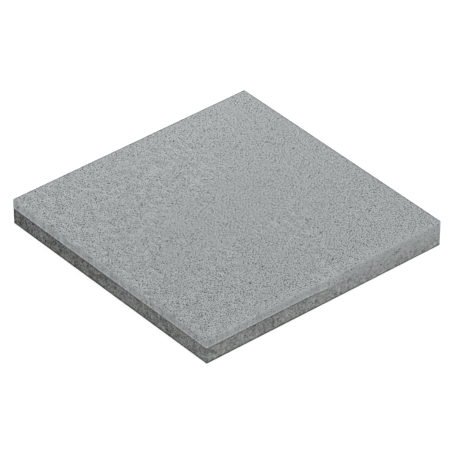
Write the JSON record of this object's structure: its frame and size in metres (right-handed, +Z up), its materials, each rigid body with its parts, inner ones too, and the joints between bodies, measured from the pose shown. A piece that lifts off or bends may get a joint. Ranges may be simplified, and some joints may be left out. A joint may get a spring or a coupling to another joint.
{
  "type": "granite slab",
  "caption": "Flat square slab with a pale fine-grained facing bonded to a darker coarse backing, crisp arrises and a level top to work on or walk on.",
  "frame": {"origin": "middle of the underside", "axes": "+Z up, from the underside to the facing's top; +X and +Y along the slab's two equal sides. The bond between the layers is flat along the -X side."},
  "size_m": [0.4, 0.4, 0.0387],
  "materials": {
    "facing": "fine-grained granite-grit facing, matt, lightly pored",
    "core": "coarse open-textured backing with gravel showing, matt"
  },
  "bodies": {
    "root": {"facing_layer": "facing", "core_layer": "core"}
  },
  "joints": []
}
